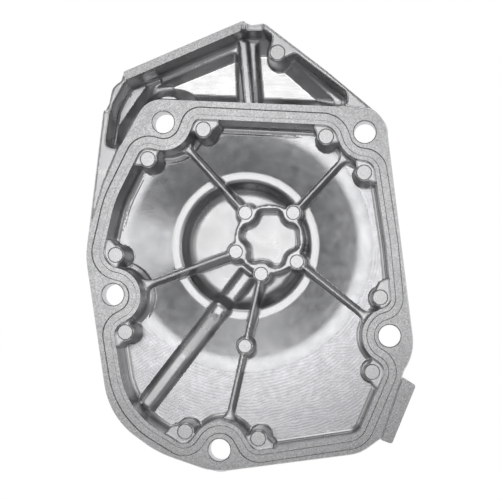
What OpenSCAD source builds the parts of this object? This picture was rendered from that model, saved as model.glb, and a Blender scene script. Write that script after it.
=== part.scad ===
// Stator cover of a small engine: one die casting with a machined seal face.
// The open side looks up (+Z). The origin is the centre of the round pad on
// the outer side, which is also the axis of the round bowl inside.

/* [Depths below the seal face] */
// Seal face to the flat floor of the cavity
floor_depth = 22; // [20:0.5:24]
// Drop of the dished floor from its outer crease to the ring
dish_drop = 3.5; // [2:0.5:5]
// Seal face to the flat disc in the middle of the bowl
disc_depth = 31; // [29:0.5:34]
// Seal face to the tops of the ribs and of the hub
rib_depth = 14; // [12:0.5:16]
// Seal face to the tops of the wall pads
pad_depth = 1; // [0.6:0.2:2]
// Seal face to the as-cast ledge and bracket rim outside it
ledge_depth = 1; // [0.6:0.2:2]

/* [Walls] */
// Thickness of the floor
floor_t = 4; // [3:0.5:5]
// Thickness of the cavity wall at its top
wall_t = 3.5; // [3:0.25:4]
// Draft of the cavity wall, in degrees
draft = 2.5; // [1:0.5:4]
// Bevel where the wall meets the floor
foot = 4; // [3:0.5:4.5]
// Thickness of the flange
flange_t = 8; // [7:0.5:11]

/* [Flange] */
// Axis of the bowl to the right edge of the flange
right_edge = 71; // [70:0.5:73]
// Axis of the bowl to the left edge of the flange
left_edge = 64.5; // [64:0.5:66]
// Axis of the bowl to the far corner of the bracket
top_edge = 92; // [91:0.5:94]
// Axis of the bowl to the lower edge of the flange
bottom_edge = 94; // [93:0.5:96]
// Step from the edge of the plate in to the machined face
face_step = 0.4; // [0.3:0.1:1]

/* [Seal] */
// Width of the seal groove
groove_w = 3.4; // [3:0.1:3.8]
// Depth of the seal groove
groove_d = 1.5; // [1:0.1:2.5]
// Lip between the groove and the cavity
lip_w = 1.5; // [1:0.1:1.8]
// Radius of the groove's outer edge round a bolt hole
groove_r = 6.5; // [6.2:0.1:6.8]

/* [Bolts] */
// Bolt hole diameter, for 8 mm bolts
bolt_d = 9; // [8.4:0.1:10]
// Diameter of the bosses under the flange
boss_d = 19; // [18:0.5:20]
// Length of the bolt holes, face to the end of the boss
boss_l = 13; // [12:0.5:16]

/* [Bowl] */
// Radius of the crease round the dished floor
dish_r = 53.5; // [50:0.5:56]
// Radius of the ring edge, top of its slope
ring_r = 30.5; // [29:0.5:33]
// Radius of the ring edge, foot of its bright bevel
ring_in_r = 27.2; // [26:0.2:28]
// Radius of the flat disc
disc_r = 23.8; // [21:0.2:25]
// Height of the bevel on the ring edge
ring_bevel = 1.3; // [0.8:0.1:2]
// Flat strip left between the foot of the wall and the dish
bowl_land = 0.3; // [0.2:0.1:0.8]
// Radius of the outer rest pad
pad_r = 26.5; // [24:0.5:28]
// Height of the rest pad's tapered side
pad_h = 5; // [4:0.5:6]
// Spread of the rest pad's tapered side
pad_taper = 2; // [1:0.5:3]

/* [Hub] */
// Radius of the lobed socket
socket_r = 12.9; // [12:0.1:13.4]
// Depth of the socket below the hub's rim
socket_d = 8.5; // [7:0.5:10]
// Thickness of the hub's rim
hub_wall = 1.3; // [1:0.1:2]
// Height of the bevel round the socket's floor
socket_foot = 1.6; // [1:0.2:2.4]
// Lean of the socket's side, from its mouth to the bevel
socket_lean = 0.8; // [0.4:0.1:1.2]
// Space between a pin post and the socket
socket_gap = 0.7; // [0.5:0.1:1]
// Half angle of the socket's lobes taken by a pin post
lobe_edge = 20; // [18:0.5:22]
// Radius of the corners of the lobes
lobe_r = 3; // [2:0.2:3.4]
// Radius from the hub's centre to its five pin marks
hub_pin_r = 14.9; // [14.5:0.1:15.3]

/* [Ejector pins] */
// Diameter of the pin marks on the wall pads
pin_d = 6.5; // [5.5:0.1:7]
// Diameter of the pin marks on the hub
hub_pin_d = 6; // [5:0.1:6.2]
// Depth of a pin mark
pin_mark = 0.2; // [0.1:0.05:0.4]
// Land round a pin mark on a pad
pin_land = 0.6; // [0.4:0.1:1]

// Length of the shoulders that join a pad to the wall
shoulder_l = 6.5; // [5:0.5:8]
// Spread of the shoulders where they meet the wall
shoulder_w = 3; // [2:0.25:4]

/* [Ribs] */
// Width of a rib at its top
rib_w = 1.1; // [0.8:0.1:2]
// Drop of the rib tops below the hub's rim and the pads
rib_step = 0.3; // [0.2:0.1:1]
// Side taper of a rib, in degrees
rib_draft = 4; // [2:0.5:6]
// Half width of a rib's flare where it meets the wall
flare_w = 3.2; // [2:0.2:4]
// Length of a rib's flare
flare_l = 7; // [5:0.5:9]
// Length of a rib inside the wall
rib_root = 1.5; // [1:0.1:2]
// Distance of the pad in the long rib from the hub's pin mark
mid_pad_at = 30.8; // [26:0.2:34]

/* [Oil channel boss] */
// Radius of the half-round boss
channel_r = 4.2; // [3:0.2:5]
// Seal face to the crown of the boss
channel_depth = 18; // [16:0.5:20]

/* [Bracket] */
// Step from the edge of the plate in to the bracket's wall
rim_gap = 0.25; // [0.2:0.05:0.6]
// Lean of the pocket's side, from its mouth to its floor
pocket_lean = 0.7; // [0.5:0.1:1.2]
// Direction of the wall behind the pin pad, in degrees
bracket_pad_turn = 52; // [48:1:56]
// Depth of the bracket's pocket at its sides
pocket_depth = 20; // [18:0.5:21]
// Depth of the two triangular wells, from the seal face
well_depth = 25; // [23:0.5:27]
// Thickness of the bracket's floor
bracket_floor = 3.5; // [2.5:0.5:5]
// Thickness of the web between the wells, at its top
web_t = 2; // [1.2:0.2:3]
// Seal face to the top of the web
web_depth = 17; // [14:0.5:18]
// Drop of the rim at the two notches
notch_d = 3; // [2:0.5:5]

/* [Lug] */
// Seal face to the top of the lug
lug_depth = 2; // [1:0.5:4]
// Thickness of the lug
lug_t = 8; // [5:0.5:9]

/* [Hidden] */
$fn = 64;
arc_steps = 4;
min_r = 0.3;
arc_gap = 0.05;
sheet = 400;
eps = 0.5;
sink = 1;
root = 2;
circle = 360;
wall_bite = 0.8;
notch_turn = 32;

face_z = disc_depth + floor_t;
floor_z = face_z - floor_depth;
ring_z = floor_z - dish_drop;
disc_z = face_z - disc_depth;
rib_z = face_z - rib_depth;
pad_z = face_z - pad_depth;
ledge_z = face_z - ledge_depth;
flange_z = face_z - flange_t;
under_z = floor_z - floor_t;
socket_z = rib_z - socket_d;
lip_in = groove_w + lip_w;
wall_foot_z = floor_z + foot;
wall_lean = (floor_depth - foot) * tan(draft);
floor_in = lip_in + wall_lean + foot;
shell_foot = lip_in - wall_t + foot + (flange_z + root - under_z - foot) * tan(draft);
dish_slope = dish_drop / (dish_r - ring_r);
pad_top_r = pin_d / 2 + pin_land;
post_top_r = hub_pin_d / 2 + pin_land;
notch_r = post_top_r + socket_gap;

// Bolt holes, clockwise from the upper left
bolts = [[-32.3, 49.9], [50.7, 45.4], [60.7, -38], [-8.8, -84.7], [-52.9, -21.2]];

// Wall pads with an ejector pin mark: x, y and the direction of the wall
wall_pads = [
    [-15.8, 47, 95], [-38.8, 34.8, 120], [-52, -4.8, 190], [-47.9, -36.6, 165],
    [-23, -77.3, 245], [7, -80, 260], [53.6, -52.7, 0], [56.9, -22.3, 10],
    [50.4, 28.9, 40], [34.8, 43.8, 60]
];

// Centre of the hub, and the directions of its five pins
hub = [10.7, 2.2];
hub_pins = [132, 47.5, 321, 257, 200.5];

// Path of the oil channel boss
channel = [[-1, -14.5], [-38.5, -63.5]];

// Middle of the bracket's pin pad, and the ends of the web
bracket_pad = [14.8, top_edge - 13.4];
web = [[-0.6, top_edge - 6], [2.1, 57]];

// Outline of the flange and bracket: corners x, y and radius
plan = [
    [0.5, top_edge, 1.5], [-49.5, 71, 1.5], [-50.5, 67.5, 1], [-54, 65.5, 6], [-55.5, 58, 1],
    [-57.5, 54.5, 4], [-left_edge, -5.5, 32], [-54.5, -71.5, 32], [-34.5, -86, 46], [-11, -bottom_edge, 28],
    [48.7, -86, 16], [57.4, -79.6, 0.5], [66.7, -52, 3], [right_edge, -45, 20], [59.4, 50.4, 13.5],
    [36, 70.2, 30], [10, top_edge - 1.6, 2], [8, top_edge - 0.8, 1], [4, top_edge - 1.5, 0.5]
];

// Outline of the deep bracket under the flange: its outer side is the flange's own
bracket_plan = concat(
    [for (i = [0:5]) plan[i]],
    [
        [-59.8, 36.2, 4], [-40, 33, 2], [-39.5, 46, 2], [-37.5, 57, 5], [-24, 57, 1], [-15, 46, 2],
        [40, 43, 2], [47.2, 50, 3], [47.2, 60.7, 3]
    ],
    [for (i = [15:18]) plan[i]]
);

// Limit of the machined seal face towards the bracket and the left ledge
face_limit = [
    [52.5, 54.5, 1], [43, 55.9, 1], [38, 60, 1], [-42.5, 63, 4], [-50, 41, 20], [-57, 24, 40],
    [-62.8, 4, 10], [-left_edge - 8, -10, 1], [-left_edge - 8, -bottom_edge - 8, 1],
    [right_edge + 8, -bottom_edge - 8, 1], [right_edge + 8, 54, 1]
];

// Strip of the bracket rim that is machined with the seal face
bar_limit = [[-1, top_edge - 7, 1], [1, top_edge + 2, 1], [-50, 73, 1], [-48, 66, 1]];

// Two notches in the bracket's rim
notch_left = [[-60, 56], [-53, 73], [-48.3, 70.3], [-48, 66], [-52, 54]];
notch_right = [[1.5, top_edge - 12], [1.5, top_edge + 3], [8.5, top_edge + 3], [9.5, top_edge - 12]];

// Mouth of the bracket's pocket
pocket = [
    [9.3, top_edge - 3.8, 2.5], [0.8, top_edge - 3.8, 2], [-49, 67.2, 3], [-54.3, 57.4, 5], [-56.9, 39.2, 3.2],
    [-50.4, 39.2, 3.2], [-39, 59.5, 10], [43.5, 55.7, 3.2], [43.6, 61.8, 3.4]
];

// The two wells in the pocket: corners at the pocket floor, then at the well floor
well_left = [
    [[-2.6, top_edge - 9.4, 2], [-45, 65, 3], [-36, 60.8, 6], [-2.2, 59.4, 2]],
    [[-3.9, top_edge - 13.5, 0.5], [-32.6, 67.1, 1], [-22.9, 63.7, 4], [-3, 62.9, 0.5]]
];
well_right = [
    [[8.6, top_edge - 7.5, 2], [4.6, top_edge - 7.5, 2], [5.6, 58.9, 2], [39.5, 57.4, 2]],
    [[9, top_edge - 11.5, 0.5], [5.6, top_edge - 11.5, 0.5], [7.1, 62, 0.5], [31, 61, 0.5]]
];

// Tab beyond the flange at the lower right
lug = [
    [66.9, -55.4, 0.4], [64, -54, 0.4], [54, -79, 0.4], [57.6, -80.6, 0.4], [61.6, -82, 0.6], [71.4, -58.2, 0.8]
];

// Arc of the groove round each bolt: the direction of its middle and half of its turn
bolt_arcs = [[296.5, 43], [234.6, 30.5], [172.7, 68], [86.4, 57.8], [8, 69.8]];
function by_bolt(i) =
    let (p = bolts[i] + polar(groove_r / cos(bolt_arcs[i][1]), bolt_arcs[i][0]))
    [p[0], p[1], groove_r];

// Groove: the corners between the bolts, and the arcs that follow the bolts
groove = [
    [-22.5, 56.6, 8], by_bolt(0), [-43.6, 46.4, 10], [-57.1, 19, 49], [-64.4, -13, 12],
    by_bolt(4), [-58.3, -32.2, 10.5], [-51.8, -71.7, 38], [-20.9, -90.6, 9.6],
    by_bolt(3), [2.4, -90.8, 9.9], [51.4, -83.3, 11.7], [66.5, -48.1, 10.7],
    by_bolt(2), [67.1, -29.6, 10.3], [64.4, 0, 120], [58.7, 38.3, 10.6],
    by_bolt(1), [41.8, 53.1, 11.7]
];

function xy(p) = [p[0], p[1]];
function polar(r, a) = r * [cos(a), sin(a)];
function unit(a, b) = (b - a) / norm(b - a);
function left_of(u) = [-u[1], u[0]];
function turn(u, v) = atan2(u[0] * v[1] - u[1] * v[0], u * v);
function hub_pin(i) = hub + polar(hub_pin_r, hub_pins[i]);

// Corner b moved in by d: x, y, radius, the length its arc takes of each side, and the way it turns
function moved_corner(a, b, c, d) =
    let (
        u = unit(xy(a), xy(b)),
        v = unit(xy(b), xy(c)),
        bend = turn(u, v),
        side = sign(bend),
        p = xy(b) + d * (left_of(u) + left_of(v)) / (1 + u * v),
        r = max(b[2] - d * side, min_r)
    )
    [p[0], p[1], r, r * tan(abs(bend) / 2), side];

// Length that corner b's arc may take of the side to its neighbour: hollow corners go first
function arc_room(b, other) =
    let (side = norm(xy(other) - xy(b)), hollow = min(other[3], side - 2 * arc_gap))
    b[4] == other[4] ? (side - arc_gap) * b[3] / (b[3] + other[3])
        : b[4] < 0 ? side - 2 * arc_gap : side - arc_gap - hollow;

// Arc at corner b between its neighbours a and c
function corner_arc(a, b, c, steps) =
    let (
        u = unit(xy(a), xy(b)),
        v = unit(xy(b), xy(c)),
        bend = turn(u, v),
        reach = min(b[3], arc_room(b, a), arc_room(b, c)),
        r = reach / tan(abs(bend) / 2),
        middle = xy(b) - reach * u + b[4] * r * left_of(u),
        start = atan2(-b[4] * left_of(u)[1], -b[4] * left_of(u)[0])
    )
    [for (k = [0:steps]) middle + polar(r, start + bend * k / steps)];

// Rounded outline of a list of corners, moved in by d
function outline(corners, d = 0, steps = arc_steps) =
    let (
        n = len(corners),
        moved = [for (i = [0:n - 1]) moved_corner(corners[(i + n - 1) % n], corners[i], corners[(i + 1) % n], d)]
    )
    [for (i = [0:n - 1]) each corner_arc(moved[(i + n - 1) % n], moved[i], moved[(i + 1) % n], steps)];

// Outline carried on beyond level a, away from level b, by eps in height
function beyond(a, b) =
    let (k = eps / abs(b[0] - a[0]))
    [a[0] + eps * sign(a[0] - b[0]), [for (i = [0:len(a[1]) - 1]) a[1][i] + k * (a[1][i] - b[1][i])]];

// Solid through outlines of equal length, each given as [height, outline], from the lowest up.
// It is made a little too long and cut to length, so that its ends are flat faces.
module loft(levels) {
    last = len(levels) - 1;
    long = concat([beyond(levels[0], levels[1])], levels, [beyond(levels[last], levels[last - 1])]);
    n = len(levels[0][1]);
    top = (last + 2) * n;
    points = [for (level = long) for (p = level[1]) [p[0], p[1], level[0]]];
    sides = [
        for (base = [0:n:top - n]) for (i = [0:n - 1]) let (j = (i + 1) % n)
            each [[base + i, base + n + i, base + n + j], [base + i, base + n + j, base + j]]
    ];
    intersection() {
        polyhedron(points, concat([[for (i = [0:n - 1]) i]], sides, [[for (i = [n - 1:-1:0]) top + i]]));
        slab(levels[0][0], levels[last][0]) square(sheet, center = true);
    }
}

module slab(z0, z1) {
    translate([0, 0, z0]) linear_extrude(z1 - z0) children();
}

// Outer side of the cavity wall: drafted, with a bevel at the foot
module shell() {
    loft([
        [under_z, outline(groove, shell_foot)],
        [under_z + foot, outline(groove, shell_foot - foot)],
        [flange_z + root, outline(groove, lip_in - wall_t)]
    ]);
}

// Dished back with the round rest pad
module back() {
    cone_in = ring_r + pad_taper;
    cone_out = dish_r - foot - sink;
    slope = (under_z - pad_h) / (cone_out - cone_in);
    intersection() {
        rotate_extrude($fn = 128) polygon([
            [0, 0], [pad_r, 0], [pad_r + pad_taper, pad_h], [cone_in, pad_h],
            [cone_out + root / slope, under_z + root], [0, under_z + root]
        ]);
        slab(-sink, under_z + 2 * root) polygon(outline(groove, shell_foot + bowl_land));
    }
}

module flange() {
    slab(flange_z, ledge_z) polygon(outline(plan));
    slab(ledge_z - eps, face_z) intersection() {
        polygon(outline(plan, face_step));
        union() {
            polygon(outline(face_limit));
            polygon(outline(bar_limit));
        }
    }
}

module bosses() {
    for (p = bolts) translate([p[0], p[1], face_z - boss_l]) cylinder(d = boss_d, h = boss_l - flange_t + eps);
}

module bracket_body() {
    low = face_z - well_depth - bracket_floor;
    lean = (flange_z + root - low - foot) * tan(draft) / 2;
    loft([
        [low, outline(bracket_plan, rim_gap + lean + foot, 2)],
        [low + foot, outline(bracket_plan, rim_gap + lean, 2)],
        [flange_z + 1.5 * root, outline(bracket_plan, rim_gap, 2)]
    ]);
}

module lug_tab() {
    slab(face_z - lug_depth - lug_t, face_z - lug_depth) polygon(outline(lug));
}

// Hollow of the cavity: drafted wall, bevel at the foot and flat floor
module cavity() {
    loft([
        [floor_z, outline(groove, floor_in)],
        [wall_foot_z, outline(groove, lip_in + wall_lean)],
        [face_z + eps, outline(groove, lip_in)]
    ]);
}

// Dish in the floor, with the bright ring edge, the step and the flat disc in its middle
module bowl() {
    intersection() {
        rotate_extrude($fn = 128) polygon([
            [0, disc_z], [disc_r, disc_z], [ring_in_r, ring_z - ring_bevel], [ring_r, ring_z],
            [dish_r + eps / dish_slope, floor_z + eps], [0, floor_z + eps]
        ]);
        slab(disc_z - sink, floor_z + 2 * eps) polygon(outline(groove, floor_in + bowl_land));
    }
}

module groove_cut() {
    slab(face_z - groove_d, face_z + eps) difference() {
        polygon(outline(groove));
        polygon(outline(groove, groove_w));
    }
}

module pocket_cut() {
    loft([
        [face_z - pocket_depth, outline(pocket, pocket_lean)],
        [face_z + eps, outline(pocket)]
    ]);
}

module well_cuts() {
    for (well = [well_left, well_right]) loft([
        [face_z - well_depth, outline(well[1])],
        [face_z - pocket_depth + eps, outline(well[0])]
    ]);
}

module notches() {
    slab(ledge_z - notch_d, face_z + eps) {
        polygon(notch_left);
        polygon(notch_right);
    }
}

module bolt_holes() {
    for (p = bolts) translate([p[0], p[1], face_z - boss_l - eps]) cylinder(d = bolt_d, h = boss_l + 2 * eps);
}

// Space that the ribs, pads and bosses inside the cavity may fill
module inner_space() {
    intersection() {
        rotate_extrude($fn = 96) polygon([
            [0, disc_z - root], [disc_r, disc_z - root], [ring_r, ring_z - root], [dish_r, floor_z - root],
            [sheet / 4, floor_z - root], [sheet / 4, face_z - pin_mark], [0, face_z - pin_mark]
        ]);
        slab(0, face_z) polygon(outline(groove, lip_in - wall_bite));
    }
}

// Pad on the wall: a tapered post with shoulders that run into the wall
module wall_pad(p) {
    height = pad_z - floor_z + sink;
    side = pad_top_r + pin_mark;
    translate([p[0], p[1], floor_z - sink]) rotate(p[2]) {
        cylinder(r1 = pad_top_r + height * tan(draft), r2 = pad_top_r, h = height);
        linear_extrude(height) polygon([
            [0, -pad_top_r], [shoulder_l / 4, -side], [shoulder_l, -pad_top_r - shoulder_w],
            [shoulder_l, pad_top_r + shoulder_w], [shoulder_l / 4, side], [0, pad_top_r]
        ]);
    }
}

module pin_marks() {
    for (p = wall_pads) translate([p[0], p[1], pad_z - pin_mark]) cylinder(d = pin_d, h = root);
    for (p = concat(post_places, [mid_pad]))
        translate([p[0], p[1], rib_z - pin_mark]) cylinder(d = hub_pin_d, h = root);
}

module hub_body() {
    height = rib_z - disc_z + sink;
    r = socket_r + hub_wall;
    translate([hub[0], hub[1], disc_z - sink]) cylinder(r1 = r + height * tan(draft), r2 = r, h = height);
    for (p = post_places) pin_post(p);
}

module pin_post(p) {
    height = rib_z - disc_z + sink;
    translate([p[0], p[1], disc_z - sink]) cylinder(r1 = post_top_r + height * tan(draft), r2 = post_top_r, h = height);
}

// Corners of the socket: a concave arc round each pin post and two rounded corners per lobe
function lobe_corner(a, gap) = let (p = hub + polar(socket_r / cos(gap / 2 - lobe_edge), a)) [p[0], p[1], lobe_r];
function notch_corner(a) = let (p = hub + polar(hub_pin_r - notch_r / cos(notch_turn), a)) [p[0], p[1], notch_r];
function gap_after(i) = (hub_pins[i] - hub_pins[(i + 1) % 5] + circle) % circle;
socket = [
    for (k = [4:-1:0])
        each [
            lobe_corner(hub_pins[k] - lobe_edge, gap_after(k)),
            notch_corner(hub_pins[k]),
            lobe_corner(hub_pins[k] + lobe_edge, gap_after((k + 4) % 5))
        ]
];

module socket_cut() {
    loft([
        [socket_z, outline(socket, socket_foot + socket_lean)],
        [socket_z + socket_foot, outline(socket, socket_lean)],
        [rib_z + eps, outline(socket)]
    ]);
}

// Ribs run from the hub's pin posts to the bolt holes and end in the wall
function rib_dir(i) = unit(hub_pin(i), bolts[i]);
function rib_len(i) = norm(bolts[i] - hub_pin(i)) - groove_r - lip_in + rib_root;
post_places = [for (i = [0:len(hub_pins) - 1]) hub_pin(i)];
mid_pad = hub_pin(3) + mid_pad_at * rib_dir(3);

module rib(i) {
    height = rib_z - rib_step - disc_z + sink;
    half = rib_w / 2;
    length = rib_len(i);
    waist = [length - flare_l * 0.36, half + rib_w * 0.64];
    foot_half = half + height * tan(rib_draft);
    a = atan2(rib_dir(i)[1], rib_dir(i)[0]);
    translate([post_places[i][0], post_places[i][1], disc_z - sink]) rotate(a) {
        rotate([90, 0, 90]) linear_extrude(length)
            polygon([[-foot_half, 0], [foot_half, 0], [half, height], [-half, height]]);
        linear_extrude(height) polygon([
            [length - flare_l, -half], [waist[0], -waist[1]], [length, -flare_w], [length, flare_w],
            [waist[0], waist[1]], [length - flare_l, half]
        ]);
    }
}

module ribs() {
    for (i = [0:len(bolts) - 1]) rib(i);
    pin_post(mid_pad);
}

// Half-round boss over the oil channel, with straight sides down to the floor
module channel_boss() {
    run = unit(channel[0], channel[1]);
    length = norm(channel[1] - channel[0]);
    axis_z = face_z - channel_depth - channel_r;
    translate([channel[0][0], channel[0][1], 0]) rotate(atan2(run[1], run[0])) {
        translate([0, 0, axis_z]) rotate([0, 90, 0]) cylinder(r = channel_r, h = length);
        translate([0, -channel_r, disc_z - sink]) cube([length, 2 * channel_r, axis_z - disc_z + sink]);
    }
}

module bracket_inside() {
    low = face_z - well_depth - sink;
    height = pad_z - low;
    reach = shoulder_l * 0.7;
    side = pad_top_r + shoulder_w * 0.8;
    translate([bracket_pad[0], bracket_pad[1], low]) rotate(bracket_pad_turn) {
        cylinder(r1 = pad_top_r + height * tan(draft), r2 = pad_top_r, h = height);
        linear_extrude(height) polygon([[0, -pad_top_r], [reach, -side], [reach, side], [0, pad_top_r]]);
    }
    run = unit(web[0], web[1]);
    web_h = face_z - web_depth - low;
    translate([web[0][0], web[0][1], low]) rotate(atan2(run[1], run[0])) rotate([90, 0, 90])
        linear_extrude(norm(web[1] - web[0])) polygon([[-web_t, 0], [web_t, 0], [web_t / 2, web_h], [-web_t / 2, web_h]]);
}

module outer_form() {
    shell();
    back();
    bosses();
    lug_tab();
    union() {
        bracket_body();
        flange();
    }
}

module hollow_form() {
    difference() {
        difference() {
            union() outer_form();
            cavity();
        }
        bowl();
    }
}

module cut_form() {
    difference() {
        difference() {
            difference() {
                hollow_form();
                groove_cut();
            }
            pocket_cut();
        }
        notches();
        well_cuts();
    }
}

module inner_form() {
    intersection() {
        inner_space();
        difference() {
            union() {
                hub_body();
                ribs();
                channel_boss();
                for (p = wall_pads) wall_pad(p);
            }
            socket_cut();
        }
    }
}

module cover_casting() {
    color([0.78, 0.79, 0.8]) difference() {
        union() {
            cut_form();
            inner_form();
            bracket_inside();
        }
        bolt_holes();
        pin_marks();
    }
}

cover_casting();
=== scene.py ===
# %% [markdown]
# Stator cover, seen into its open side.
# The real part is one aluminium die casting. The die leaves every inner corner rounded; then a mill cuts
# the seal face, the seal groove, the floor and the bolt holes with sharp edges. It could be modelled with
# a bevel on each edge, but too many corners blend into each other for that. So this script follows the
# foundry: a plain blank, rounding, machining, and only then finish, camera and light.

# %% Load the packed model
import math

import bpy
import numpy as np
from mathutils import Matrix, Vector


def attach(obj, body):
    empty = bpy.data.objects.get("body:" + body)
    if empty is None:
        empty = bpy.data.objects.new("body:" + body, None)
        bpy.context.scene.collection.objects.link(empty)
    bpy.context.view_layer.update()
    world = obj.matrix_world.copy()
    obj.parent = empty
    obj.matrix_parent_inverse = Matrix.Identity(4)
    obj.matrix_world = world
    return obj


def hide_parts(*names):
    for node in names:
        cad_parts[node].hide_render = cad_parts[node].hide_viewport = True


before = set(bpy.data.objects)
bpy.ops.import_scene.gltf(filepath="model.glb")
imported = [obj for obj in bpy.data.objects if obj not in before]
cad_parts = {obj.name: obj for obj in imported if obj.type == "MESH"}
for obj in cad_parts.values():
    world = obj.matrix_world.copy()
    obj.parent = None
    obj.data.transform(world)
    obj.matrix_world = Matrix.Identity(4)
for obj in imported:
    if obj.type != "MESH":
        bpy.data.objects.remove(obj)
bpy.context.view_layer.update()
MM = 0.001

# %% [markdown]
# All lengths below are in millimetres, as on the drawing of the casting, and the finished mesh is scaled
# to metres once, at the end. Heights follow from a few depths below the seal face. They could be typed
# where they are used, but this way one change moves everything that hangs on it.

# %% Heights, walls and slopes
FACE_Z = 35.0
FLOOR_Z = FACE_Z - 22.0
RING_Z = FLOOR_Z - 3.5
DISC_Z = FACE_Z - 31.0
RIB_Z = FACE_Z - 14.0
PAD_Z = FACE_Z - 1.0
LEDGE_Z = FACE_Z - 1.0
FLANGE_Z = FACE_Z - 8.0
UNDER_Z = FLOOR_Z - 4.0
STOCK, PRINT_D, CHAMFER = 1.0, 0.15, 0.35
DRAFT = math.tan(math.radians(2.5))
RIB_DRAFT = math.tan(math.radians(4))
DISH_R, RING_R, RING_IN_R, DISC_R = 53.5, 30.5, 27.2, 23.8
GROOVE_W, GROOVE_D, LIP_W, GROOVE_R = 3.4, 1.5, 1.5, 6.5
WALL_T, FOOT, FOOT_R = 3.5, 4.0, 2.4
BOLT_D, BOSS_D, BOSS_L = 9.0, 19.0, 13.0
LIP_IN = GROOVE_W + LIP_W
WALL_LEAN = (FACE_Z - FLOOR_Z - FOOT_R) * DRAFT
FLOOR_IN = LIP_IN + WALL_LEAN + FOOT_R
SHELL_FOOT = LIP_IN - WALL_T + FOOT + (FLANGE_Z + 2 - UNDER_Z - FOOT) * DRAFT
REST_R, REST_H = 26.5, 5.0
FACE_IN, BRACKET_IN, WELL_T = 0.4, 0.25, 3.5
print("seal face at", FACE_Z, "floor at", FLOOR_Z, "disc at", DISC_Z)

# %% [markdown]
# Five bolts hold the cover, ten pin pads stand along its wall, and five ribs run from the hub. They could
# be placed by eye on a picture; as points on the drawing they can be measured and moved one by one.

# %% Places of bolts, pads, ribs and bosses
BOLTS = [(-32.3, 49.9), (50.7, 45.4), (60.7, -38.0), (-8.8, -84.7), (-52.9, -21.2)]
WALL_PADS = [
    (-15.8, 47, 95), (-38.8, 34.8, 120), (-52, -4.8, 190), (-47.9, -36.6, 165), (-23, -77.3, 245),
    (7, -80, 260), (53.6, -52.7, 0), (56.9, -22.3, 10), (50.4, 28.9, 40), (34.8, 43.8, 60),
]
HUB = (10.7, 2.2)
HUB_PINS = [132, 47.5, 321, 257, 200.5]
HUB_PIN_R, SOCKET_R, SOCKET_D, HUB_WALL = 14.9, 12.9, 8.5, 1.3
PIN_D, HUB_PIN_D, PIN_LAND = 6.5, 6.0, 0.6
RIB_W, FLARE_W, MID_PAD_AT = 1.1, 3.2, 30.8
CHANNEL = [(0.9, -12.1), (-41.5, -67.4)]
CHANNEL_R, CHANNEL_H = 4.2, 3.0
POCKET_Z, WELL_Z, WEB_Z = FACE_Z - 20.0, FACE_Z - 25.0, FACE_Z - 17.0
BRACKET_PAD = (14.8, 78.6)
WEB = [(-0.6, 86), (2.1, 57)]
WEB_FOOT, WEB_TOP = 2.9, 1.7
ARM_BOSS = (-30.5, 51)
ARM_HIGH, ARM_LOW = POCKET_Z + 0.9, POCKET_Z - 1.8
NOTCH_Z = LEDGE_Z - 3.0
LUG_Z, LUG_T = FACE_Z - 2.0, 8.0
print(len(BOLTS), "bolts,", len(WALL_PADS), "pads at the wall")

# %% [markdown]
# The outlines are lists of corners: x, y and the radius that rounds the corner. A curve drawn by hand
# would do as well, but a drawing gives corners and radii. One list serves the groove, the cavity wall
# and the shell behind it, because on the real casting they all run parallel.

# %% Outlines of the flange and the bracket
PLAN = [
    (0.5, 92, 1.5), (-49.5, 71, 1.5), (-50.5, 67.5, 1), (-54, 65.5, 6), (-55.5, 58, 1), (-57.5, 54.5, 4),
    (-64.5, -5.5, 32), (-54.5, -71.5, 32), (-34.5, -86, 46), (-11, -94, 28), (48.7, -86, 16),
    (57.4, -79.6, 0.5), (66.7, -52, 3), (71, -45, 20), (59.4, 50.4, 13.5), (36, 70.2, 30), (10, 90.4, 2),
    (8, 91.2, 1), (4, 90.5, 0.5),
]
BRACKET = PLAN[:6] + [
    (-59.8, 36.2, 4), (-40, 33, 2), (-39.5, 46, 2), (-37.5, 57, 5), (-24, 57, 1), (-15, 46, 2), (40, 43, 2),
    (47.2, 50, 3), (47.2, 60.7, 3),
] + PLAN[15:]
FACE_LIMIT = [
    (52.5, 54.5, 1), (43, 55.9, 1), (38, 60, 1), (-42.5, 63, 4), (-50, 41, 20), (-57, 24, 40), (-62.8, 4, 10),
    (-72, -10, 1), (-72, -102, 1), (80, -102, 1), (80, 54, 1),
]
BAR_LIMIT = [(-1, 85, 1), (1, 94, 1), (-50, 73, 1), (-48, 66, 1)]
POCKET = [
    (9.3, 88.2, 2.5), (0.8, 88.2, 2), (-49, 67.2, 3), (-54.3, 57.4, 5), (-56.9, 39.2, 3.2),
    (-50.4, 39.2, 3.2), (-39, 59.5, 10), (43.5, 55.7, 3.2), (43.6, 61.8, 3.4),
]
WELL_LEFT = [
    [(-2.6, 82.6, 2), (-45, 65, 3), (-36, 60.8, 6), (-2.2, 59.4, 2)],
    [(-3.9, 78.5, 0.5), (-32.6, 67.1, 1), (-22.9, 63.7, 4), (-3, 62.9, 0.5)],
]
WELL_RIGHT = [
    [(10.6, 86.4, 2), (4.6, 86.4, 2), (5.6, 58.9, 2), (42, 57.4, 2)],
    [(9, 80.5, 0.5), (5.6, 80.5, 0.5), (7.1, 62, 0.5), (31, 61, 0.5)],
]
LUG = [
    (66.9, -55.4, 0.4), (64, -54, 0.4), (54, -79, 0.4), (57.6, -80.6, 0.4), (61.6, -82, 0.6),
    (71.4, -58.2, 0.8),
]
print(len(PLAN), "corners in the flange")

# %% [markdown]
# The seal groove. It swings round each bolt hole at an even distance, so that the seal is pressed
# evenly. Those swings could be arcs of their own; here a corner with the right radius does the same.

# %% Seal groove
def polar(r, degrees):
    a = math.radians(degrees)
    return np.array([r * math.cos(a), r * math.sin(a)])


def by_bolt(i, middle, half):
    x, y = np.array(BOLTS[i]) + polar(GROOVE_R / math.cos(math.radians(half)), middle)
    return (x, y, GROOVE_R)


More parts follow.
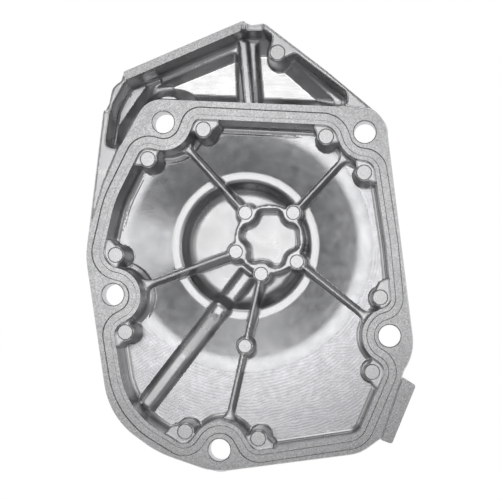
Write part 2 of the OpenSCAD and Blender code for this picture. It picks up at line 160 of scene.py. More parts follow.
GROOVE = [
    (-22.5, 56.6, 8), by_bolt(0, 296.5, 43), (-43.6, 46.4, 10), (-57.1, 19, 49), (-64.4, -13, 12),
    by_bolt(4, 8, 69.8), (-58.3, -32.2, 10.5), (-51.8, -71.7, 38), (-20.9, -90.6, 9.6),
    by_bolt(3, 86.4, 57.8), (2.4, -90.8, 9.9), (51.4, -83.3, 11.7), (66.5, -48.1, 10.7),
    by_bolt(2, 172.7, 68), (67.1, -29.6, 10.3), (64.4, 0, 120), (58.7, 38.3, 10.6),
    by_bolt(1, 234.6, 30.5), (41.8, 53.1, 11.7),
]


def outline(corners, inset=0.0, step=0.8, pieces=None):
    """Points of the rounded outline, moved in by inset; an arc gets one point every step mm, or pieces."""
    n = len(corners)
    p = np.array([c[:2] for c in corners], float)
    go = np.roll(p, -1, 0) - p
    go /= np.linalg.norm(go, axis=1)[:, None]
    come = np.roll(go, 1, 0)
    left = np.stack([-go[:, 1], go[:, 0]], 1)
    left_in = np.roll(left, 1, 0)
    dot = (come * go).sum(1)
    bend = np.arctan2(come[:, 0] * go[:, 1] - come[:, 1] * go[:, 0], dot)
    side = np.sign(bend)
    half = np.tan(np.abs(bend) / 2)
    moved = p + inset * (left_in + left) / (1 + dot)[:, None]
    radius = np.maximum(np.array([c[2] for c in corners]) - inset * side, 0.3)
    reach = radius * half
    points = []
    for i in range(n):
        room = []
        for j in ((i - 1) % n, (i + 1) % n):
            edge = np.linalg.norm(moved[j] - moved[i])
            if side[i] == side[j]:
                room.append((edge - 0.05) * reach[i] / (reach[i] + reach[j]))
            elif side[i] < 0:
                room.append(edge - 0.1)
            else:
                room.append(edge - 0.05 - min(reach[j], edge - 0.1))
        used = min(reach[i], *room)
        r = used / half[i]
        middle = moved[i] - used * come[i] + side[i] * r * left_in[i]
        start = math.atan2(*(-side[i] * left_in[i])[::-1])
        steps = pieces or max(2, int(abs(bend[i]) * corners[i][2] / step))
        for k in range(steps + 1):
            a = start + bend[i] * k / steps
            points.append(middle + r * np.array([math.cos(a), math.sin(a)]))
    return np.array(points)


print("groove outline", len(outline(GROOVE)), "points")

# %% [markdown]
# Three kinds of closed solid make the whole blank: a loft through outlines of equal length, a straight
# prism, and a turned solid. Blender's own cubes and cylinders could be bent to fit, but a mesh written
# from its points follows the drawing exactly.

# %% Solids
def read(items, name):
    """Three numbers of each point, corner or face of a mesh, as rows."""
    values = np.empty(len(items) * 3)
    items.foreach_get(name, values)
    return values.reshape(-1, 3)


def mesh_object(name, points, faces):
    mesh = bpy.data.meshes.new(name)
    mesh.from_pydata([tuple(p) for p in points], [], faces)
    mesh.validate()
    made = bpy.data.objects.new(name, mesh)
    bpy.context.scene.collection.objects.link(made)
    return made


def loft(name, levels):
    """Closed solid through levels, each (height or list of heights, outline), from the lowest up."""
    n = len(levels[0][1])
    points = []
    for z, ring in levels:
        heights = np.broadcast_to(z, n)
        points += [(x, y, h) for (x, y), h in zip(ring, heights)]
    faces = [list(range(n))[::-1], [(len(levels) - 1) * n + i for i in range(n)]]
    for base in range(0, (len(levels) - 1) * n, n):
        for i in range(n):
            j = (i + 1) % n
            faces.append([base + i, base + j, base + n + j, base + n + i])
    return mesh_object(name, points, faces)


def prism(name, z0, z1, ring):
    return loft(name, [(z0, ring), (z1, ring)])


def turned(name, profile, centre=(0, 0), steps=192):
    """Solid turned about an upright axis; the profile runs from the axis out and back, heights rising."""
    rings = [(r, z) for r, z in profile if r > 0]
    points = [(centre[0], centre[1], profile[0][1]), (centre[0], centre[1], profile[-1][1])]
    for r, z in rings:
        for k in range(steps):
            x, y = polar(r, 360 * k / steps)
            points.append((centre[0] + x, centre[1] + y, z))
    faces = []
    for k in range(steps):
        j = (k + 1) % steps
        faces.append([0, 2 + j, 2 + k])
        last = 2 + (len(rings) - 1) * steps
        faces.append([1, last + k, last + j])
        for m in range(len(rings) - 1):
            base = 2 + m * steps
            faces.append([base + k, base + j, base + steps + j, base + steps + k])
    return mesh_object(name, points, faces)


print("loft, prism and turned solids are ready")

# %% [markdown]
# Booleans then join and cut the solids, as adding and removing die blocks would. The manifold solver is
# fast and keeps the result closed. Each result is written back at once, so that no long chain of
# modifiers has to be worked out again.

# %% Joining and cutting
def baked(piece):
    """Replaces a piece's mesh by what its modifiers make of it."""
    depsgraph = bpy.context.evaluated_depsgraph_get()
    mesh = bpy.data.meshes.new_from_object(piece.evaluated_get(depsgraph))
    old = piece.data
    piece.modifiers.clear()
    piece.data = mesh
    bpy.data.meshes.remove(old)
    return piece


def combine(base, others, how):
    for other in others:
        cut = base.modifiers.new(how, "BOOLEAN")
        cut.object = other
        cut.operation = how
        cut.solver = "MANIFOLD"
    baked(base)
    for other in others:
        bpy.data.objects.remove(other)
    return base


print("joining and cutting are ready")

# %% [markdown]
# Outside of the blank. The shell behind the cavity follows the groove with a wall of even thickness and
# leans inwards by the draft, so that the die lets go of it. The back is dished and ends in a round rest
# pad, the bracket hangs lower than the flange, and a boss stands behind each bolt hole. A sheet made
# thick by a modifier would be the same everywhere; solids that are added up keep every size by name.

# %% Outside of the blank
def dished_back():
    """The cone behind the dish with its round rest pad, limited to the foot of the shell."""
    cone_in, cone_out = RING_R + 2, DISH_R - FOOT - 1.5
    slope = (UNDER_Z - REST_H) / (cone_out - cone_in)
    top = UNDER_Z + 2
    back = turned("back", [
        (0, 0), (REST_R, 0), (REST_R + 2, REST_H), (cone_in, REST_H), (cone_out + 2 / slope, top), (0, top),
    ])
    trim = prism("trim", -1, UNDER_Z + 4, outline(GROOVE, SHELL_FOOT + 0.3))
    return combine(back, [trim], "INTERSECT")


def bracket_block():
    low = WELL_Z - WELL_T
    lean = (FLANGE_Z + 2 - low - FOOT) * DRAFT / 2
    return loft("bracket", [
        (low, outline(BRACKET, BRACKET_IN + lean + FOOT)),
        (low + FOOT, outline(BRACKET, BRACKET_IN + lean)),
        (FLANGE_Z + 3, outline(BRACKET, BRACKET_IN)),
    ])


def raised_face():
    """The face that will be milled, with its stock, but without the ledges of the bracket."""
    raised = prism("raised", LEDGE_Z - 1, FACE_Z + STOCK, outline(PLAN, FACE_IN))
    limits = prism("face_limit", 0, 50, outline(FACE_LIMIT))
    combine(limits, [prism("bar", 0, 50, outline(BAR_LIMIT))], "UNION")
    return combine(raised, [limits], "INTERSECT")


def bolt_boss(place):
    low, high, r = FACE_Z - BOSS_L, FLANGE_Z + 1, BOSS_D / 2
    return turned("boss", [(0, low), (r, low), (r, high), (0, high)], place, 64)


def outer_blank():
    shell = loft("cover", [
        (UNDER_Z, outline(GROOVE, SHELL_FOOT)),
        (UNDER_Z + FOOT, outline(GROOVE, SHELL_FOOT - FOOT)),
        (FLANGE_Z + 2, outline(GROOVE, LIP_IN - WALL_T)),
    ])
    plate = prism("plate", FLANGE_Z, LEDGE_Z, outline(PLAN))
    lug = prism("lug", LUG_Z - LUG_T, LUG_Z + STOCK, outline(LUG))
    bosses = [bolt_boss(p) for p in BOLTS]
    return combine(shell, [dished_back(), bracket_block(), plate, raised_face(), lug] + bosses, "UNION")


cover = outer_blank()
print("outer blank", len(cover.data.vertices), "vertices")

# %% [markdown]
# Cavity and bowl. The cavity's wall leans by the draft of the die and curves into the floor. In the floor
# lies a shallow cone, the dish, down to a bright ring, and inside the ring a flat disc. The bowl could be
# sculpted, but it looks as if turned true, so here it is a profile spun about an axis, with a
# short curve in each inner corner.

# %% Cavity and bowl
TURNS = [math.radians(a) for a in range(0, 91, 15)]


def eased(profile, reaches, steps=5):
    """The profile with each inner corner replaced by a curve that starts and ends reach mm from it."""
    p = [np.array(q, float) for q in profile]
    points = [tuple(p[0])]
    for i, reach in enumerate(reaches, 1):
        start = p[i] + reach * (p[i - 1] - p[i]) / np.linalg.norm(p[i - 1] - p[i])
        end = p[i] + reach * (p[i + 1] - p[i]) / np.linalg.norm(p[i + 1] - p[i])
        for t in np.linspace(0, 1, steps + 1):
            points.append(tuple((1 - t) ** 2 * start + 2 * t * (1 - t) * p[i] + t ** 2 * end))
    return points + [tuple(q) for q in p[len(reaches) + 1:]]


def cavity():
    levels = []
    for a in TURNS:
        ring = outline(GROOVE, FLOOR_IN - FOOT_R * math.sin(a))
        levels.append((FLOOR_Z + FOOT_R * (1 - math.cos(a)), ring))
    return loft("cavity", levels + [(FACE_Z + 3, outline(GROOVE, LIP_IN))])


def bowl():
    slope = (FLOOR_Z - RING_Z) / (DISH_R - RING_R)
    profile = [
        (0, DISC_Z), (DISC_R, DISC_Z), (RING_IN_R, RING_Z - 0.05), (RING_R, RING_Z),
        (DISH_R + 1 / slope, FLOOR_Z + 1), (0, FLOOR_Z + 1),
    ]
    body = turned("bowl", eased(profile, [3.0, 1.1, 0.9]))
    limit = prism("bowl_limit", DISC_Z - 1, FLOOR_Z + 3, outline(GROOVE, FLOOR_IN + 0.3))
    return combine(body, [limit], "INTERSECT")


for hollow in (cavity(), bowl()):
    combine(cover, [hollow], "DIFFERENCE")
print("with cavity and bowl", len(cover.data.vertices), "vertices")

# %% [markdown]
# Pocket of the bracket. The bracket on the far side is hollow too: a pocket with two triangular wells
# whose sides slope, and a left arm whose floor rises to the inside. It saves metal where the part only
# has to be stiff. Pushing faces down would leave stretched walls; lofts between two outlines slope cleanly.

# %% Pocket of the bracket
def pit(name, well):
    """A triangular well; its slopes are carried on upwards until they meet the wall of the pocket."""
    return loft(name, [
        (WELL_Z, outline(well[1], pieces=8)),
        (POCKET_Z + 0.5, outline(well[0], pieces=8)),
        (POCKET_Z + 4.5, outline(well[0], -3.4, pieces=8)),
    ])


def pocket():
    levels = []
    for a in TURNS:
        ring = outline(POCKET, 0.7 + 2.6 * (1 - math.sin(a)))
        levels.append((POCKET_Z + 3 * (1 - math.cos(a)), ring))
    return loft("mouth", levels + [(FACE_Z + 3, outline(POCKET))])


def well(levels):
    limit = prism("limit", WELL_Z - 1, FACE_Z + 3, outline(POCKET, 0.9))
    return combine(pit("well", levels), [limit], "INTERSECT")


def arm_floor():
    """The sloping floor of the left arm, high along the ridge and low along the outer wall."""
    ridge = [(-50.4, 42), (-47.6, 47), (-45.6, 51), (-44, 54.5), (-41.8, 57.8), (-38.6, 61), (-34, 64.2)]
    foot = [(-35.5, 70.8), (-41, 69), (-48.2, 66.4), (-51, 61.8), (-53.6, 56.8), (-54.8, 49), (-55.8, 42)]
    ring = np.array(ridge + foot)
    heights = [ARM_HIGH] * len(ridge) + [ARM_LOW] * len(foot)
    return loft("arm", [(heights, ring), ([POCKET_Z + 4] * len(ring), ring)])


def notches():
    left = [(-52, 54, 1), (-48, 66, 1), (-48.3, 70.3, 1), (-53, 73, 1), (-60, 56, 1)]
    right = [(9.5, 80, 1), (8.5, 95, 1), (1.5, 95, 1), (1.5, 80, 1)]
    return [prism("notch", NOTCH_Z, FACE_Z + 3, outline(n)) for n in (left, right)]


for hollow in [pocket(), arm_floor(), well(WELL_LEFT), well(WELL_RIGHT)] + notches():
    combine(cover, [hollow], "DIFFERENCE")
print("hollow blank", len(cover.data.vertices), "vertices")

# %% [markdown]
# Helpers for what stands in the cavity. Each piece is made flat on the origin and then turned and moved
# to its place, as a pattern maker would, so its own sizes stay easy to read.

# %% Posts and bars
def unit(v):
    v = np.array(v, float)
    return v / np.linalg.norm(v)


def placed(piece, place, degrees, z=0.0):
    a = math.radians(degrees)
    co = read(piece.data.vertices, "co")
    x, y = co[:, 0].copy(), co[:, 1].copy()
    co[:, 0] = place[0] + x * math.cos(a) - y * math.sin(a)
    co[:, 1] = place[1] + x * math.sin(a) + y * math.cos(a)
    co[:, 2] += z
    piece.data.vertices.foreach_set("co", co.ravel())
    return piece


def post(place, top_r, low, top):
    foot_r = top_r + (top - low) * DRAFT
    return turned("post", [(0, low), (foot_r, low), (top_r, top), (0, top)], place, 64)


def hub_pin(i):
    return np.array(HUB) + polar(HUB_PIN_R, HUB_PINS[i])


def along_x(name, section, length):
    """Solid with the given section in (y, z), run along x from 0 to length."""
    n = len(section)
    points = [(0, y, z) for y, z in section] + [(length, y, z) for y, z in section]
    faces = [list(range(n))[::-1], list(range(n, 2 * n))]
    for i in range(n):
        j = (i + 1) % n
        faces.append([i, j, n + j, n + i])
    return mesh_object(name, points, faces)


print("first pin of the hub at", hub_pin(0).round(1))

# %% [markdown]
# Ribs. They carry the hub and run to the bolt bosses, so that the load of the bearing reaches the
# crankcase, and they widen where they meet the wall. A thin drafted bar and a flared prism make one rib,
# where an array of one rib couldn't follow five different lengths and angles.

# %% Ribs
RIB_TOP = RIB_Z + 0.15
RIB_LOW = DISC_Z - 1


def rib(i):
    start, bolt = hub_pin(i), np.array(BOLTS[i])
    run = unit(bolt - start)
    length = np.linalg.norm(bolt - start) - GROOVE_R - LIP_IN + 1.5
    half = RIB_W / 2 + 0.12
    height = RIB_TOP - RIB_LOW
    foot = half + height * RIB_DRAFT
    body = along_x("rib", [(-foot, 0), (foot, 0), (half, height), (-half, height)], length)
    flare = prism("flare", 0, height, np.array([
        (length - 7, -half), (length - 4, -half - 0.8), (length - 1.8, -FLARE_W), (length, -FLARE_W - 2),
        (length, FLARE_W + 2), (length - 1.8, FLARE_W), (length - 4, half + 0.8), (length - 7, half),
    ]))
    a = math.degrees(math.atan2(run[1], run[0]))
    return [placed(body, start, a, RIB_LOW), placed(flare, start, a, RIB_LOW)]


print("ribs from", RIB_LOW, "to", RIB_TOP, "mm")

# %% [markdown]
# Pads and the boss of the oil channel. A pin pushes on each pad to free the casting from the die, so the
# pads stand on strong shoulders at the wall. The long boss probably covers an oil channel. A half-round
# bar would be simpler, but the boss looks flat on top with steep sides, and seems to follow the floor.

# %% Pads and the boss of the oil channel
def wall_pad(x, y, degrees):
    top_r = PIN_D / 2 + PIN_LAND
    low = FLOOR_Z - 1
    shoulder = prism("shoulder", low, PAD_Z, np.array([
        (-1.2, -3.7), (0.6, -6.4), (6.5, -8), (6.5, 8), (0.6, 6.4), (-1.2, 3.7),
    ]))
    return [post((x, y), top_r, low, PAD_Z), placed(shoulder, (x, y), degrees)]


def floor_height(r):
    """Height of the bowl's floor at radius r from its axis."""
    return float(np.interp(r, [DISC_R, RING_IN_R, RING_R, DISH_R], [DISC_Z, RING_Z, RING_Z, FLOOR_Z]))


def channel_boss():
    """The boss over the oil channel: a flat-topped ridge of even height that follows the floor."""
    start, end = np.array(CHANNEL[0], float), np.array(CHANNEL[1], float)
    run = unit(end - start)
    across = np.array([-run[1], run[0]])
    length = np.linalg.norm(end - start)
    points, faces = [], []
    stations = np.linspace(0, length, 60)
    for s in stations:
        middle = start + run * s
        top = floor_height(np.linalg.norm(middle)) + CHANNEL_H
        section = [(-CHANNEL_R - 1.2, top - CHANNEL_H - 1.5)]
        section += [(CHANNEL_R * u, top - CHANNEL_H * abs(u) ** 4.5) for u in np.linspace(-0.98, 0.98, 15)]
        section += [(CHANNEL_R + 1.2, top - CHANNEL_H - 1.5)]
        points += [(*(middle + across * y), z) for y, z in section]
    n = len(section)
    faces = [list(range(n)), list(range((len(stations) - 1) * n, len(stations) * n))[::-1]]
    for base in range(0, (len(stations) - 1) * n, n):
        for i in range(n):
            j = (i + 1) % n
            faces.append([base + i, base + n + i, base + n + j, base + j])
    return [mesh_object("channel", points, faces)]


print("floor at 0, 40 and 60 mm from the axis", [round(floor_height(r), 2) for r in (0, 40, 60)])

# %% [markdown]
# Hub. A round seat with five pin pads around it and a lobed socket in its middle. The socket could be a
# circle with five notches cut in; one outline with a rounded corner for each lobe gives the same in one
# loft. Everything in the cavity is cut by the outline of the lip, so that none reaches the seal groove.

# %% Hub and everything in the cavity
def inner_limit():
    roof = FACE_Z - 0.2
    limit = turned("limit", [
        (0, DISC_Z - 2), (DISC_R, DISC_Z - 2), (RING_R, RING_Z - 2), (DISH_R, FLOOR_Z - 2),
        (100, FLOOR_Z - 1.99), (100, roof), (0, roof),
    ])
    inside_lip = prism("inside_lip", 0, FACE_Z + 3, outline(GROOVE, LIP_IN - 0.8))
    return combine(limit, [inside_lip], "INTERSECT")


def socket_cut():
    """The lobed hollow of the hub: three corners for each pin pad, and sides that flare near the floor."""
    notch_r = HUB_PIN_D / 2 + PIN_LAND + 0.7
    corners = []
    for k in (4, 3, 2, 1, 0):
        a = HUB_PINS[k]
        after = (a - HUB_PINS[(k + 1) % 5]) % 360
        before = (HUB_PINS[(k + 4) % 5] - a) % 360
        for turn, r, size in (
            (-20, SOCKET_R / math.cos(math.radians(after / 2 - 20)), 4.5),
            (0, HUB_PIN_R - notch_r / math.cos(math.radians(32)), notch_r),
            (20, SOCKET_R / math.cos(math.radians(before / 2 - 20)), 4.5),
        ):
            x, y = np.array(HUB) + polar(r, a + turn)
            corners.append((x, y, size))
    low = RIB_Z - SOCKET_D
    return loft("socket", [
        (low, outline(corners, 1.9, 0.4)),
        (low + 1.4, outline(corners, 0.7, 0.4)),
        (RIB_Z + 2, outline(corners, 0, 0.4)),
    ])


MID_PAD = hub_pin(3) + MID_PAD_AT * unit(np.array(BOLTS[3]) - hub_pin(3))
POST_R = HUB_PIN_D / 2 + PIN_LAND
HUB_R = SOCKET_R + HUB_WALL
HUB_FOOT = HUB_R + (RIB_Z - RIB_LOW) * DRAFT
inside = turned("hub", [(0, RIB_LOW), (HUB_FOOT, RIB_LOW), (HUB_R, RIB_Z), (0, RIB_Z)], HUB)
parts = [post(place, POST_R, RIB_LOW, RIB_Z) for place in [hub_pin(i) for i in range(5)] + [MID_PAD]]
for i in range(5):
    parts += rib(i)
for pad in WALL_PADS:
    parts += wall_pad(*pad)
parts += channel_boss()
combine(inside, parts, "UNION")
combine(inside, [socket_cut()], "DIFFERENCE")
combine(inside, [inner_limit()], "INTERSECT")
print("hub, ribs, pads and boss", len(inside.data.vertices), "vertices")

# %% [markdown]
# Inside of the bracket. A web splits the pocket, a pad with its pin mark leans on the wall, and the boss
# of a bolt flares into the left arm. They are plain drafted bars and cones; the rounding step that
# follows blends them into the walls, so no fillet is modelled by hand.

# %% Inside of the bracket
def arm_flank():
    """The flared side of the bolt boss that stands into the left arm, limited to the pocket."""
    low, top = WELL_Z - 1, FACE_Z - 1.2
    flank = turned("flank", [(0, low), (15, low), (14.4, POCKET_Z + 1), (9.8, top), (0, top)], ARM_BOSS)
    return combine(flank, [prism("in_pocket", low - 1, FACE_Z, outline(POCKET, -1))], "INTERSECT")


def bracket_post():
    low, top_r = WELL_Z - 1, PIN_D / 2 + PIN_LAND
    shoulder = prism("shoulder", low, PAD_Z, np.array([
        (0, -top_r), (4.6, -top_r - 2.4), (4.6, top_r + 2.4), (0, top_r),
    ]))
    return [post(BRACKET_PAD, top_r, low, PAD_Z), placed(shoulder, BRACKET_PAD, 52)]


def web():
    low = WELL_Z - 1
    run = np.array(WEB[1]) - np.array(WEB[0])
    height = WEB_Z - low
    section = [(-WEB_FOOT, 0), (WEB_FOOT, 0), (WEB_TOP, height), (-WEB_TOP, height)]
    body = along_x("web", section, np.linalg.norm(run))
    return placed(body, WEB[0], math.degrees(math.atan2(run[1], run[0])), low)


combine(cover, [inside, arm_flank()] + bracket_post() + [web()], "UNION")
print("blank with ribs", len(cover.data.vertices), "vertices")

# %% [markdown]
# Rounding. Molten aluminium can't fill a sharp inner corner and the die is never sharp either. A fine
# voxel remesh followed by a little smoothing gives every junction its natural fillet, whatever meets
# there, which no list of edges to bevel could do. Then the mesh is thinned where it is flat.

# %% Cast rounding
VOXEL = 0.42
TARGET = 165000
shrink = cover.modifiers.new("cast_skin_with_wall_shade", "REMESH")
shrink.mode = "VOXEL"
shrink.voxel_size = VOXEL
soften = cover.modifiers.new("fillets", "SMOOTH")
soften.factor = 0.5
soften.iterations = 5
baked(cover)
print("rounded blank", len(cover.data.polygons), "faces")
thin = cover.modifiers.new("thin_out", "DECIMATE")
thin.ratio = min(1.0, TARGET / (2 * len(cover.data.polygons)))
baked(cover)
print("after thinning", len(cover.data.polygons), "faces")

# %% [markdown]
# Milling. A face mill takes the seal face and the lug down to their heights and leaves a sharp edge, and
# a slot cutter runs the seal groove. These cuts come after the rounding on purpose: on the real part too
# they are the only sharp edges.

# %% Milled faces and seal groove
TAPER = 0.32
mill = prism("mill", FACE_Z, FACE_Z + 5, np.array([(-90, -110), (90, -110), (90, 110), (-90, 110)]))
lug_mill = prism("lug_mill", LUG_Z, FACE_Z + 5, np.array([
    (57.6, -79.7), (58.6, -90), (85, -90), (85, -52.3), (67, -52.3),
]))
combine(cover, [mill], "DIFFERENCE")
combine(cover, [lug_mill], "DIFFERENCE")


def groove_ring():
    """The groove between two outlines; its sides lean a little, as those of a worn cutter do."""
    floor = FACE_Z - GROOVE_D
    ring = loft("ring", [
        (floor, outline(GROOVE, TAPER, 0.5)),
        (FACE_Z, outline(GROOVE, 0, 0.5)),
        (FACE_Z + 1, outline(GROOVE, 0, 0.5)),
    ])
    core = loft("core", [
        (floor - 1, outline(GROOVE, GROOVE_W - TAPER, 0.5)),
        (floor, outline(GROOVE, GROOVE_W - TAPER, 0.5)),
        (FACE_Z, outline(GROOVE, GROOVE_W, 0.5)),
        (FACE_Z + 2, outline(GROOVE, GROOVE_W, 0.5)),
    ])
    return combine(ring, [core], "DIFFERENCE")


combine(cover, [groove_ring()], "DIFFERENCE")
print("milled", len(cover.data.polygons), "faces")

# %% [markdown]
# Bolt holes and pin prints. The holes are drilled with a fine chamfer. The pins that push the casting out
# of the die leave a shallow round print with a thin flash line round it. Both could be bump in a
# material, but a bump casts no shadow and shows no edge from the side, so they are cut.

# %% Bolt holes and pin prints
def chamfered_bore(place, r, low, top):
    edge = top - CHAMFER
    wide = r + CHAMFER + 1
    return turned("bore", [(0, low), (r, low), (r, edge), (wide, top + 1), (0, top + 1)], place, 96)


def pin_print(place, r, top):
    """The print of an ejector pin: a flat disc with a fine flash groove round it."""
    flat = top - PRINT_D
    return turned("print", [
        (0, flat), (r - 0.42, flat), (r - 0.2, flat - 0.3), (r, flat), (r + 0.15, top + 2), (0, top + 2),
    ], place, 64)


WALL_PRINTS = [p[:2] for p in WALL_PADS] + [BRACKET_PAD]
HUB_PRINTS = [hub_pin(i) for i in range(5)] + [MID_PAD]
for p in BOLTS:
    combine(cover, [chamfered_bore(p, BOLT_D / 2, FACE_Z - BOSS_L - 3, FACE_Z)], "DIFFERENCE")
for p in WALL_PRINTS:
    combine(cover, [pin_print(p, PIN_D / 2, PAD_Z)], "DIFFERENCE")
for p in HUB_PRINTS:
    combine(cover, [pin_print(p, HUB_PIN_D / 2, RIB_Z)], "DIFFERENCE")
print("machined", len(cover.data.polygons), "faces")

# %% [markdown]
# The floor outside the dish is milled, so its crease with the dish is crisp. The rounding step softened
# it by half a millimetre. Cutting it once more would leave slivers; points that lie near the two ideal
# surfaces go back onto them instead.

# %% Crisp crease and sharp edges
def crease_floor(mesh):
    co = read(mesh.vertices, "co")
    up = read(mesh.vertices, "normal")[:, 2]
    r = np.hypot(co[:, 0], co[:, 1])
    slope = (FLOOR_Z - RING_Z) / (DISH_R - RING_R)
    ideal = np.where(r > DISH_R, FLOOR_Z, FLOOR_Z - slope * (DISH_R - r))
    near = (np.abs(co[:, 2] - ideal) < 0.3) & (up > 0.97) & (r > RING_R + 1.5)
    co[near, 2] = ideal[near]
    mesh.vertices.foreach_set("co", co.ravel())
    mesh.update()
    return int(near.sum())


moved = crease_floor(cover.data)
for polygon in cover.data.polygons:
    polygon.use_smooth = True
cover.data.set_sharp_from_angle(angle=math.radians(38))
print(moved, "floor points set on the milled surfaces")

# %% [markdown]
# Each face belongs to one of the finishes that the real part shows: as-cast skin, face-milled seal
# surface, milled floor, drilled bore, print of a pin, the polished dish and the bright floor of the
# wells. They could be painted by hand, but height, direction and place tell them apart, just as the tool
# that made them does.

# %% Zones of finish
SKIN, FACE, FLOOR, BORE, PIN, DISH, WELL = range(7)


def inside_outline(points, ring):
    """True for each point inside the closed outline, by counting crossings."""
    x, y = points[:, 0], points[:, 1]
    inside_now = np.zeros(len(points), bool)
    for (ax, ay), (bx, by) in zip(ring, np.roll(ring, -1, 0)):
        if ay == by:
            continue
        crosses = (ay > y) != (by > y)
        inside_now ^= crosses & (x < ax + (y - ay) * (bx - ax) / (by - ay))
    return inside_now


def zones(mesh):
    centre = read(mesh.polygons, "center")
    x, y, z = centre.T
    up = read(mesh.polygons, "normal")[:, 2]
    zone = np.full(len(z), SKIN, np.int32)
    zone[(np.abs(z - FACE_Z) < 0.02) & (up > 0.99)] = FACE
    zone[(np.abs(z - FACE_Z + GROOVE_D) < 0.02) & (up > 0.99)] = FACE
    zone[(np.abs(z - LUG_Z) < 0.02) & (up > 0.99) & (x > 57) & (y < -52)] = FACE
    r = np.hypot(x, y)
    floor = (np.abs(z - FLOOR_Z) < 0.15) & (up > 0.97) & (r > DISH_R)
    zone[floor & inside_outline(centre, outline(GROOVE, FLOOR_IN - 0.6))] = FLOOR
    on_cone = (up > 0.92) & (z < FLOOR_Z) & (z > RING_Z - 0.3)
    zone[on_cone & (r < DISH_R) & (r > RING_IN_R + 0.6)] = DISH
    zone[(np.abs(z - WELL_Z) < 0.15) & (up > 0.99) & (y > 52)] = WELL
    for px, py in BOLTS:
        near = np.hypot(x - px, y - py) < BOLT_D / 2 + 0.4
        zone[near & (z < FACE_Z - 0.01)] = BORE
    for height, places in ((PAD_Z - PRINT_D, WALL_PRINTS), (RIB_Z - PRINT_D, HUB_PRINTS)):
        for px, py in places:
            near = np.hypot(x - px, y - py) < PIN_D / 2
            zone[near & (np.abs(z - height) < 0.03) & (up > 0.98)] = PIN
    return zone


zone = zones(cover.data)
print("faces in each finish", np.bincount(zone, minlength=7))
cover.data.vertices.foreach_set("co", (read(cover.data.vertices, "co") * MM).ravel())
cover.data.update()

# %% [markdown]
# Shading. The dish is polished almost like a mirror, so the smallest unevenness of its triangles would
# show as blotches. More triangles would help a little; giving the corners the direction of the true cone
# and of the true flat faces removes it, and leaves the shape as it is.

# %% Shading as the true surface
def true_normals(mesh, zone):
    """Shades the dish as the exact cone and the flat faces as exactly flat, whatever the triangles are."""
    corner = read(mesh.corner_normals, "vector")
    level = read(mesh.polygons, "normal")[:, 2] > 0.9997
    count, vertex = np.empty(len(level), np.int32), np.empty(len(corner), np.int32)
    mesh.polygons.foreach_get("loop_total", count)
    mesh.loops.foreach_get("vertex_index", vertex)
    zone_at = np.repeat(zone, count)
    flat = np.isin(zone_at, (FACE, FLOOR, PIN)) | np.repeat(level, count)
    corner[flat] = (0, 0, 1)
    place = read(mesh.vertices, "co")[vertex]
    tilt = math.atan2(FLOOR_Z - RING_Z, DISH_R - RING_R)
    centre = read(mesh.polygons, "center")
    centre_r = np.repeat(np.hypot(centre[:, 0], centre[:, 1]), count) / MM
    dish = (zone_at == DISH) & (centre_r > RING_R + 1.6)
    r = np.hypot(place[:, 0], place[:, 1])[dish]
    corner[dish, 0] = -math.sin(tilt) * place[dish, 0] / r
    corner[dish, 1] = -math.sin(tilt) * place[dish, 1] / r
    corner[dish, 2] = math.cos(tilt)
    mesh.normals_split_custom_set(corner.tolist())
    return int(dish.sum() + flat.sum())


print(true_normals(cover.data, zone), "corners shaded as the true surface")
cover.name = "cover_piece"

# %% [markdown]
# Finishes. All of them are bare aluminium, so colour hardly differs; what differs is how rough the
# surface is and what marks it carries. Photographs could be laid over it, but each material here is
# built from noise and wave nodes in the object's own coordinates, in metres, so that it has no seams and
# stays put when the part turns.

# %% Sums of values
class Sums:
    """
    A metal material and the sums that its nodes do. The plain colour and roughness are for a program
    that can't read the nodes.
    """

    def __init__(self, name, colour, roughness):
        self.mat = bpy.data.materials.new(name)
        self.mat.use_nodes = True
        self.nodes, self.links = self.mat.node_tree.nodes, self.mat.node_tree.links
        self.shader = self.nodes["Principled BSDF"]
        self.shader.inputs["Base Color"].default_value = (*colour, 1)
        self.shader.inputs["Roughness"].default_value = roughness
        self.shader.inputs["Metallic"].default_value = 1.0
        self.place = self.nodes.new("ShaderNodeTexCoord").outputs["Object"]
        self.height = None

    def node(self, kind, values):
        """A new node with the given values at its inputs."""
        made = self.nodes.new("ShaderNode" + kind)
        for name, value in values.items():
            made.inputs[name].default_value = value
        return made

    def spread(self, value, low, high, from_low=0.3, from_high=0.7):
        node = self.node("MapRange", {
            "From Min": from_low, "From Max": from_high, "To Min": low, "To Max": high,
        })
        self.links.new(value, node.inputs["Value"])
        return node.outputs["Result"]

    def math(self, operation, a, b):
        node = self.nodes.new("ShaderNodeMath")
        node.operation = operation
        for socket, value in zip(node.inputs, (a, b)):
            if isinstance(value, (int, float)):
                socket.default_value = value
            else:
                self.links.new(value, socket)
        return node.outputs["Value"]


print("sums:", [name for name in vars(Sums) if name[0] != "_"])

# %% [markdown]
# Marks and places. Noise gives clouds and grain, rings give the arcs of a cutter, and the last two tell
# where on the part a point lies. An image could hold all of it, but only at one fineness.

# %% Marks and places
WAVES_AT_SCALE_1 = 3.2


